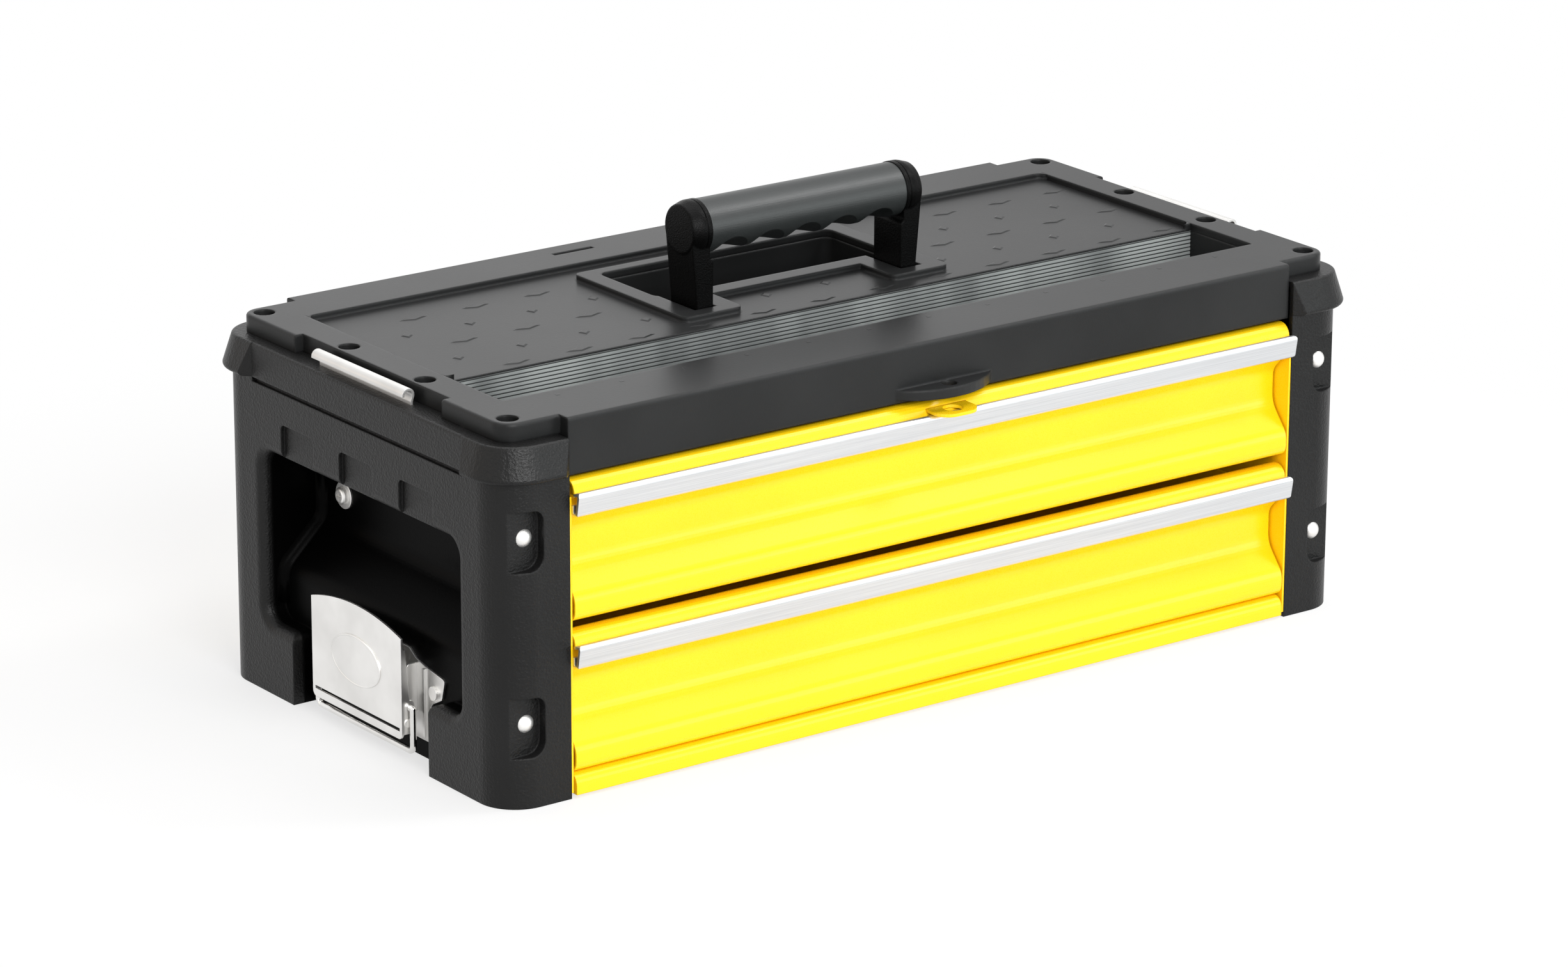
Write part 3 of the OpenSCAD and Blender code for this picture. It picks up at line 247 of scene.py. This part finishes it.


# The channel's grey is painted sheen on black plastic whose ribs catch the light, its light upright bands
# are painted reflections, and its groove colour is painted shade in the valleys between the ribs
tub = {"dark": shade(0.15, 0.16, 0.16), "light": shade(0.33, 0.35, 0.345), "fade": (0.35, 0.7),
       "reflectionBands": 16.0, "reflectionRun": (1.0, 0.2, 0.2), "scuffs": 120.0, "scuffRun": (0.3, 1.0, 1.0),
       "rough": 0.3, "roughSpread": 0.2, "shine": 0.4, "depth": 0.004 * mm, "edge": 0.3 * mm,
       "grooveShade": shade(0.03, 0.032, 0.032), "ribTop": 4.2 * mm, "ribPitch": 2.0 * mm,
       "grooveWide": 0.7 * mm, "grooves": 9}


def tubPlastic():
    f = Finish("channel_plastic")
    # painted reflections: lighter upright bands
    paintedReflection = f.noise(tub["reflectionBands"], detail=3.0, rough=0.6, vector=f.stretched(tub["reflectionRun"]))
    scuff = f.noise(tub["scuffs"], detail=4.0, rough=0.6, vector=f.stretched(tub["scuffRun"]))
    down = (deckTop - tub["ribTop"] - f.along("Z")) / tub["ribPitch"]      # counted in ribs
    rear = f.along("Y").above(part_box("channel_wall_rear")[0][1] - hair)
    ribbed = down.above(0.0) * down.below(float(tub["grooves"])) * rear
    # painted shade along the valleys between the ribs
    grooveShade = down.fract().below(tub["grooveWide"] / tub["ribPitch"]) * ribbed
    # painted sheen: the wall's grey, with the lighter bands
    wall = f.blend(paintedReflection.fade(*tub["fade"]), tub["dark"], tub["light"])
    return f.close({
        "Base Color": f.blend(grooveShade, wall, tub["grooveShade"]),
        "Roughness": tub["rough"] + tub["roughSpread"] * scuff,
        "Specular IOR Level": tub["shine"],
        "Normal": f.relief(scuff, tub["depth"], f.soft(tub["edge"]))})


rubber = {"dark": shade(0.012, 0.014, 0.014), "light": shade(0.02, 0.023, 0.023), "patches": 60.0,
          "rough": 0.36, "roughSpread": 0.1, "shine": 0.5, "grain": 0.6 * mm, "depth": 0.03 * mm,
          "edge": 0.6 * mm}


def gripRubber():
    f = Finish("grip_rubber")
    patch = f.noise(rubber["patches"])
    pebble = f.cells(1 / rubber["grain"])
    return f.close({
        "Base Color": f.blend(patch, rubber["dark"], rubber["light"]),
        "Roughness": rubber["rough"] + rubber["roughSpread"] * patch,
        "Specular IOR Level": rubber["shine"],
        "Normal": f.relief(pebble, rubber["depth"], f.soft(rubber["edge"]))})


coat = {"bright": shade(1.0, 0.64, 0.006), "deep": shade(0.98, 0.6, 0.004), "patches": 7.0,
        "fade": (0.3, 0.7), "specks": 2500.0, "rough": 0.24, "roughSpread": 0.08, "shine": 0.4,
        "peel": 1.6 * mm, "depth": 0.02 * mm, "edge": 0.5 * mm}


def powderCoat(name):
    f = Finish(name)
    patch = f.noise(coat["patches"])
    peel = f.noise(1 / coat["peel"], detail=2.0)
    speck = f.noise(coat["specks"], detail=1.0)
    return f.close({
        "Base Color": f.blend(patch.fade(*coat["fade"]), coat["bright"], coat["deep"]),
        "Roughness": coat["rough"] + coat["roughSpread"] * speck,
        "Specular IOR Level": coat["shine"],
        "Normal": f.relief(peel, coat["depth"], f.soft(coat["edge"]))})


pull = {"dark": shade(0.52, 0.53, 0.55), "light": shade(0.9, 0.91, 0.92), "brush": (14.0, 2400.0, 2400.0),
        "rough": 0.3, "roughSpread": 0.12, "ribPitch": 0.9 * mm, "ribShare": 0.3, "depth": 0.02 * mm,
        "edge": 0.4 * mm}


def pulledAluminium():
    f = Finish("pull_aluminium")
    ribs = (f.along("Z") * (2 * math.pi / pull["ribPitch"])).sine()
    brushed = f.noise(1.0, rough=0.6, vector=f.stretched(pull["brush"]))
    return f.close({
        "Base Color": f.blend(brushed, pull["dark"], pull["light"]),
        "Metallic": 1.0,
        "Roughness": pull["rough"] + pull["roughSpread"] * brushed,
        "Normal": f.relief(ribs * pull["ribShare"] + brushed, pull["depth"], f.soft(pull["edge"]))})


steels = {
    "latch_steel": {"tone": 0.86, "rough": 0.3, "edge": 0.5 * mm, "wave": 0.006 * mm},
    "bail_steel": {"tone": 0.82, "rough": 0.1, "edge": 0.1 * mm, "wave": 0.02 * mm},
    "catch_steel": {"tone": 0.68, "rough": 0.45, "edge": 0.3 * mm, "wave": 0.0003 * mm},
    "runner_steel": {"tone": 0.6, "rough": 0.3, "edge": 0.2 * mm, "wave": 0.02 * mm},
    "rivet_steel": {"tone": 0.96, "rough": 0.42, "edge": 0.2 * mm, "wave": 0.003 * mm},
}
plating = {"bright": (1.0, 0.99, 0.97), "dull": (0.86, 0.85, 0.83), "patches": 35.0, "fade": (0.3, 0.75),
           "scuffs": 900.0, "roughSpread": 0.08, "waviness": 6.0, "scuffShare": 0.2}


def platedSteel(name, look):
    f = Finish(name)
    patch = f.noise(plating["patches"])
    scuff = f.noise(plating["scuffs"], detail=2.0)
    bright, dull = (shade(*(look["tone"] * part for part in plating[k])) for k in ("bright", "dull"))
    waves = patch * plating["waviness"] + plating["scuffShare"] * scuff
    return f.close({
        "Base Color": f.blend(patch.fade(*plating["fade"]), bright, dull),
        "Metallic": 1.0,
        "Roughness": look["rough"] + plating["roughSpread"] * patch,
        "Normal": f.relief(waves, look["wave"], f.soft(look["edge"]))})


finishes = {
    "cover_plastic": coverPlastic("cover_plastic", deck["edge"]),
    "tread_plastic": coverPlastic("tread_plastic", deck["treadEdge"]),
    "channel_plastic": tubPlastic(),
    "grip_rubber": gripRubber(),
    "shell_paint": powderCoat("shell_paint"),
    "drawer_paint": powderCoat("drawer_paint"),
    "pull_aluminium": pulledAluminium(),
}
for name, look in mouldings.items():
    finishes[name] = mouldedPlastic(name, look)
for name, look in steels.items():
    finishes[name] = platedSteel(name, look)

special = {"channel_ends": "cover_plastic",              # nodes that look unlike their slot
           # the recess liners take the hollow's painted shade
           "recess_liner_left": "recess_painted_shade", "recess_liner_right": "recess_painted_shade"}
for part in frame["record"]["subparts"]:
    node = nodes[part["node"]]
    node.data.materials.clear()
    node.data.materials.append(finishes[special.get(part["node"], part["material_slot"])])
    for face in node.data.polygons:
        face.use_smooth = False


def newPiece(name, mesh, body, slotName, finish=None, smooth=False):
    data = bpy.data.meshes.new(name)
    bmesh.ops.recalc_face_normals(mesh, faces=mesh.faces)
    mesh.to_mesh(data)
    mesh.free()
    piece = bpy.data.objects.new(name, data)
    bpy.context.scene.collection.objects.link(piece)
    data.materials.append(finishes[finish or slotName])
    for face in data.polygons:
        face.use_smooth = smooth
    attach(piece, body)
    return piece


def joinLoops(mesh, low, high):                # a band of faces between two closed loops
    for i in range(len(low)):
        j = (i + 1) % len(low)
        mesh.faces.new((low[i], low[j], high[j], high[i]))


fourWays = [(sx, sy) for sx in (-1, 1) for sy in (-1, 1)]

print("raising the tread marks")
# Columns, rows and border marks are counted from the middle, one way
tread = {"columns": 7, "rows": 3, "pitchX": 36.3 * mm, "pitchY": 44.8 * mm, "startX": -1.5 * mm,
         "startY": 18.2 * mm, "length": 18.0 * mm, "width": 6.4 * mm, "crossLength": 9.2 * mm,
         "crossWidth": 7.0 * mm, "crossTurn": 75, "height": 0.35 * mm, "slope": 1.2 * mm, "gap": 1 * mm,
         "sunk": 3 * mm, "panelFront": -33.7 * mm, "panelBack": 88.4 * mm,
         "borderMarks": 6, "borderX": -2 * mm, "borderY": -88.5 * mm, "borderSunk": 0.28 * mm,
         "borderShare": 0.8, "borderTurn": 45}
surround = {"x": 81.2 * mm, "front": 5.5 * mm, "back": 74 * mm,        # round the handle's well
            "footX": 45.8 * mm, "footFront": -21.5 * mm, "footBack": 40 * mm}


def lozenge(mesh, x, y, z, length, width, turn):
    top, bottom = [], []
    shrink = 1 - tread["slope"] * math.hypot(length, width) / (length * width) * 2
    for px, py in ((-length / 2, 0), (0, -width / 2), (length / 2, 0), (0, width / 2)):
        cx = px * math.cos(turn) - py * math.sin(turn)
        cy = px * math.sin(turn) + py * math.cos(turn)
        bottom.append(mesh.verts.new((x + cx, y + cy, z - hair)))
        top.append(mesh.verts.new((x + cx * shrink, y + cy * shrink, z + tread["height"])))
    mesh.faces.new(top)
    mesh.faces.new(reversed(bottom))
    joinLoops(mesh, bottom, top)


def clearOfHandle(x, y, reachX, reachY):
    s = surround
    ring = abs(x) < s["x"] + reachX and s["front"] - reachY < y < s["back"] + reachY
    foot = s["footX"] - reachX < abs(x) < s["x"] + reachX and s["footFront"] - reachY < y < s["footBack"]
    return not (ring or foot)


def onPanel(x, y, reachX, reachY):
    return abs(x) + reachX <= deckEdge and tread["panelFront"] + reachY < y < tread["panelBack"] - reachY


def treadMarks():
    t = tread
    kinds = ((0, t["length"], t["width"], 0.0),
             (0.5, t["crossLength"], t["crossWidth"], math.radians(t["crossTurn"])))
    mesh = bmesh.new()
    for i in range(-t["columns"], t["columns"] + 1):
        for j in range(-t["rows"], t["rows"]):
            for shift, long, wide, turn in kinds:        # long marks, with small ones between
                x = (i + shift) * t["pitchX"] + t["startX"]
                y = (j + shift) * t["pitchY"] + t["startY"]
                reachX, reachY = long / 2 + t["gap"], wide / 2 + t["gap"]
                if onPanel(x, y, reachX, reachY) and clearOfHandle(x, y, reachX, reachY):
                    lozenge(mesh, x, y + midY, deckTop - t["sunk"], long, wide, turn)
    for i in range(-t["borderMarks"], t["borderMarks"]):
        lozenge(mesh, (i + 0.5) * t["pitchX"] + t["borderX"], midY + t["borderY"], deckTop - t["borderSunk"],
                t["crossWidth"], t["crossWidth"] * t["borderShare"], math.radians(t["borderTurn"]))
    newPiece("tread_marks", mesh, "case", "cover_plastic", "tread_plastic")


treadMarks()


print("turning the screws and rims")
screwSides = 48


def loop(reach):                               # points round the screw's axis, at reach(angle) from it
    angles = (2 * math.pi * i / screwSides for i in range(screwSides))
    return [(math.cos(a) * reach(a), math.sin(a) * reach(a)) for a in angles]


def circle(radius):
    return loop(lambda a: radius)


def hexagon(size):
    sixth = math.pi / 3
    return loop(lambda a: size * math.cos(sixth / 2) / math.cos((a % sixth) - sixth / 2))


def cross(size, arm):
    least = arm / size * 0.7                   # keeps the division clear of zero along an arm

    def reach(a):
        turn = (a + math.pi / 4) % (math.pi / 2) - math.pi / 4
        return min(size / math.cos(turn), arm / max(abs(math.sin(turn)), least))
    return loop(reach)


def turned(mesh, origin, axis, rings):         # rings of (points, height), joined one after another
    upright = abs(axis.z) > 0.9
    side = Vector((1, 0, 0)) if upright else Vector((0, 0, 1)).cross(axis)
    side.normalize()
    other = axis.cross(side)
    loops = []
    for points, height in rings:
        spots = (origin + side * u + other * v + axis * height for u, v in points)
        loops.append([mesh.verts.new(spot) for spot in spots])
    for low, high in zip(loops, loops[1:]):
        joinLoops(mesh, low, high)
    mesh.faces.new(loops[0])
    mesh.faces.new(reversed(loops[-1]))


socketScrew = {"head": 4.5 * mm, "thick": 2.6 * mm, "round": 0.5 * mm, "shank": 2.2 * mm,
               "socket": 2.6 * mm, "socketDeep": 1.6 * mm, "middleX": 238.8 * mm, "middleY": 33 * mm}


def coverScrews():
    s = socketScrew
    low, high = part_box("cover_screws")
    headZ = high[2]
    shank, head, flat = circle(s["shank"]), circle(s["head"]), circle(s["head"] - s["round"])
    socket = hexagon(s["socket"])
    rings = [(shank, low[2] - headZ), (shank, -s["thick"]), (head, -s["thick"]), (head, -s["round"]),
             (flat, 0), (socket, 0), (socket, -s["socketDeep"])]
    corner = (high[0] - s["head"], high[1] - midY - s["head"])
    mesh = bmesh.new()
    for x, y in (corner, (s["middleX"], s["middleY"])):
        for sx, sy in fourWays:
            turned(mesh, Vector((sx * x, midY + sy * y, headZ)), Vector((0, 0, 1)), rings)
    piece = newPiece("socket_screws", mesh, "case", "black_screws")
    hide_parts("cover_screws")


# The outline is radius and height in millimetres: the shank, the washer, then the round head
crossScrew = {"washer": 7 * mm, "cross": 2.2 * mm, "arm": 0.45 * mm,
              "crossLow": 1.9 * mm, "armLow": 0.4 * mm, "crossDeep": 1.4 * mm,
              "outline": [(2.1, -9), (2.1, -3.8), (7, -3.8), (7, -2.9), (6.7, -2.6),
                          (4.4, -2.6), (4.3, -1.1), (3.7, -0.4), (2.9, 0)]}


def recessScrews():
    s = crossScrew
    low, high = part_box("recess_screws")
    y, z = (high[1] - low[1]) / 2 - s["washer"], (low[2] + high[2]) / 2
    rings = [(circle(radius * mm), height * mm) for radius, height in s["outline"]]
    rings += [(cross(s["cross"], s["arm"]), 0), (cross(s["crossLow"], s["armLow"]), -s["crossDeep"])]
    mesh = bmesh.new()
    for sx, sy in fourWays:
        turned(mesh, Vector((sx * high[0], midY + sy * y, z)), Vector((sx, 0, 0)), rings)
    piece = newPiece("cross_screws", mesh, "case", "rivet_steel")
    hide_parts("recess_screws")


rim = {"wide": 21.0 * mm, "tall": 12.0 * mm, "wire": 0.55 * mm, "up": 28.8 * mm, "sunk": 0.35 * mm,
       "turns": 96, "sides": 8}


def ovalRims():
    for side, sign in (("left", -1), ("right", 1)):
        low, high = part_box("latch_lever_" + side)
        faceX = sign * (max(abs(low[0]), abs(high[0])) - rim["sunk"])
        centre = Vector((faceX, (low[1] + high[1]) / 2, low[2] + rim["up"]))
        outward = Vector((sign, 0, 0))
        mesh = bmesh.new()
        loops = []
        for i in range(rim["turns"]):
            a = 2 * math.pi * i / rim["turns"]
            spoke = Vector((0, math.cos(a) * rim["wide"], math.sin(a) * rim["tall"]))
            out = Vector((0, math.cos(a) * rim["tall"], math.sin(a) * rim["wide"])).normalized()
            around = (2 * math.pi * k / rim["sides"] for k in range(rim["sides"]))
            loops.append([mesh.verts.new(centre + spoke + out * rim["wire"] * math.cos(b)
                                         + outward * rim["wire"] * math.sin(b)) for b in around])
        for i in range(rim["turns"]):
            joinLoops(mesh, loops[i], loops[(i + 1) % rim["turns"]])
        newPiece("oval_rim_" + side, mesh, "lever_" + side, "latch_steel", smooth=True)


hollow = {"deepX": 222.0 * mm, "shallowX": 245.0 * mm, "topZ": 118.0 * mm, "rampTop": 84.0 * mm,
          "rampLow": 62.0 * mm, "lowZ": 44.0 * mm, "bend": 12.0 * mm, "sideY": 86.0 * mm,
          "fillet": 4.5 * mm, "steps": 8}


def bent(points, radius, steps):               # the line through the points, with round corners
    out = [Vector(points[0])]
    for before, here, after in zip(points, points[1:], points[2:]):
        here = Vector(here)
        u, w = (Vector(before) - here).normalized(), (Vector(after) - here).normalized()
        half = u.angle(w) / 2
        start, end = here + u * radius / math.tan(half), here + w * radius / math.tan(half)
        centre = here + (u + w).normalized() * radius / math.sin(half)
        for i in range(steps + 1):
            spoke = (start - centre).normalized().slerp((end - centre).normalized(), i / steps)
            out.append(centre + spoke * radius)
    return out + [Vector(points[-1])]


def recessFillets():
    h = hollow
    wall = [(h["deepX"], h["topZ"]), (h["deepX"], h["rampTop"]),
            (h["shallowX"], h["rampLow"]), (h["shallowX"], h["lowZ"])]
    line = bent(wall, h["bend"], h["steps"])
    mesh = bmesh.new()
    for sx, sy in fourWays:
        rings = []
        for i, spot in enumerate(line):
            run = (line[min(i + 1, len(line) - 1)] - line[max(i - 1, 0)]).normalized()
            out = Vector((-run.y, run.x))                # from the wall into the hollow
            ring = [(spot, 0.0)]
            for k in range(h["steps"] + 1):
                a = math.pi / 2 * k / h["steps"]
                ring.append((spot + out * h["fillet"] * (1 - math.cos(a)), h["fillet"] * (1 - math.sin(a))))
            rings.append([mesh.verts.new((sx * q.x, midY + sy * (h["sideY"] - y), q.y)) for q, y in ring])
        for low, high in zip(rings, rings[1:]):
            joinLoops(mesh, low, high)
        mesh.faces.new(rings[0])
        mesh.faces.new(reversed(rings[-1]))
    # the fillets take the hollow's painted shade
    newPiece("recess_fillets", mesh, "case", "end_cap_plastic", "recess_painted_shade", smooth=True)


recessFillets()
coverScrews()
recessScrews()
ovalRims()


print("placing the camera and the lamps")
photoCamera = {"place": (-1706.56 * mm, -2301.77 * mm, 1016.66 * mm), "yaw": 36.469, "pitch": 18.0935,
               "roll": 0.212, "lens": 138.41, "sensor": 36.0, "near": 0.1, "far": 30.0}


def photographer():
    yaw, pitch, roll = (math.radians(photoCamera[k]) for k in ("yaw", "pitch", "roll"))
    ahead = Vector((math.sin(yaw) * math.cos(pitch), math.cos(yaw) * math.cos(pitch), -math.sin(pitch)))
    right = Vector((math.cos(yaw), -math.sin(yaw), 0))
    up = right.cross(ahead)
    across = right * math.cos(roll) + up * math.sin(roll)
    above = up * math.cos(roll) - right * math.sin(roll)
    data = bpy.data.cameras.new("photographer")
    data.lens, data.sensor_width = photoCamera["lens"], photoCamera["sensor"]
    data.sensor_fit = "HORIZONTAL"
    data.clip_start, data.clip_end = photoCamera["near"], photoCamera["far"]
    camera = bpy.data.objects.new("photographer", data)
    spot = Vector(photoCamera["place"]) + Vector((0, midY, 0))
    turn = Matrix((across, above, -ahead)).transposed().to_4x4()
    camera.matrix_world = Matrix.Translation(spot) @ turn
    bpy.context.scene.collection.objects.link(camera)
    bpy.context.scene.camera = camera


# Softboxes: where each stands and aims, in metres, its two sides, watts and colour
white = (1, 1, 1)
lamps = {
    "frontBox": ((-0.5, -2.3, 1.3), (0, 0, 0.08), (1.6, 1.2), 62, white),
    "topBox": ((0.2, 0.1, 2.2), (0, 0, 0.1), (2.4, 1.8), 34, white),
    "leftBox": ((-2.2, -0.2, 1.0), (-0.2, 0, 0.1), (1.0, 1.0), 4, (1.0, 0.93, 0.82)),
    "rearLeftBox": ((-1.8, 1.3, 0.7), (-0.2, 0, 0.1), (0.8, 0.8), 1.5, (1.0, 0.66, 0.36)),
    "edgeBox": ((1.25, -0.7, 1.75), (0, 0, 0.12), (0.5, 0.5), 12, white),
    "backBox": ((0.67, 2.2, 0.95), (0, 0, 0.2), (1.9, 1.3), 3, white),
    "lowBox": ((1.4, -2.0, 0.5), (0, 0, 0.15), (1.3, 0.8), 11, (0.92, 1.0, 1.0)),
}
backdrop = {"ambient": 0.05, "white": 1.0}     # what lights the case, and what the camera and metal see


def softbox(name, spot, target, sides, power, colour):
    data = bpy.data.lights.new(name, "AREA")
    data.shape = "RECTANGLE"
    data.size, data.size_y = sides
    data.energy, data.color = power, colour
    lamp = bpy.data.objects.new(name, data)
    lamp.location = spot
    lamp.rotation_euler = (Vector(target) - Vector(spot)).to_track_quat("-Z", "Y").to_euler()
    bpy.context.scene.collection.objects.link(lamp)


def studio():
    world = bpy.data.worlds.new("studio")
    bpy.context.scene.world = world
    world.use_nodes = True
    b = Bench(world.node_tree)
    dim = b.add("ShaderNodeBackground", inputs={"Color": grey(1), "Strength": backdrop["ambient"]})
    bright = b.add("ShaderNodeBackground", inputs={"Color": grey(1), "Strength": backdrop["white"]})
    pick = b.add("ShaderNodeMixShader", inputs={0: b.backdropRays(), 1: dim, 2: bright})
    b.add("ShaderNodeOutputWorld", inputs={"Surface": pick})
    for name, settings in lamps.items():
        softbox(name, *settings)


# The floor glows white with distance, and keeps the case's shadow near it
floorLook = {"half": 1.15, "below": 0.2 * mm, "tone": 0.94, "lift": 0.68, "near": 0.3, "far": 0.62}


def paleFloor():
    mesh = bmesh.new()
    half = floorLook["half"]
    corners = ((-1, -1), (1, -1), (1, 1), (-1, 1))
    mesh.faces.new([mesh.verts.new((x * half, y * half, -floorLook["below"])) for x, y in corners])
    data = bpy.data.meshes.new("floor")
    mesh.to_mesh(data)
    mesh.free()
    floor = bpy.data.objects.new("floor", data)
    bpy.context.scene.collection.objects.link(floor)
    f = Finish("pale_floor")
    lit = f.add("ShaderNodeBsdfDiffuse", inputs={"Color": grey(floorLook["tone"])})
    glow = f.add("ShaderNodeEmission", inputs={"Color": grey(1), "Strength": backdrop["white"]})
    away = f.add("ShaderNodeVectorMath", {"operation": "LENGTH"}, {0: f.place}, "Value")
    lift = away.fade(floorLook["near"], floorLook["far"], floorLook["lift"], 1.0)
    mix = f.add("ShaderNodeMixShader", inputs={0: f.backdropRays() * lift, 1: lit, 2: glow})
    data.materials.append(f.show(mix))


photographer()
studio()
paleFloor()
view = bpy.context.scene.view_settings
view.view_transform = "Standard"
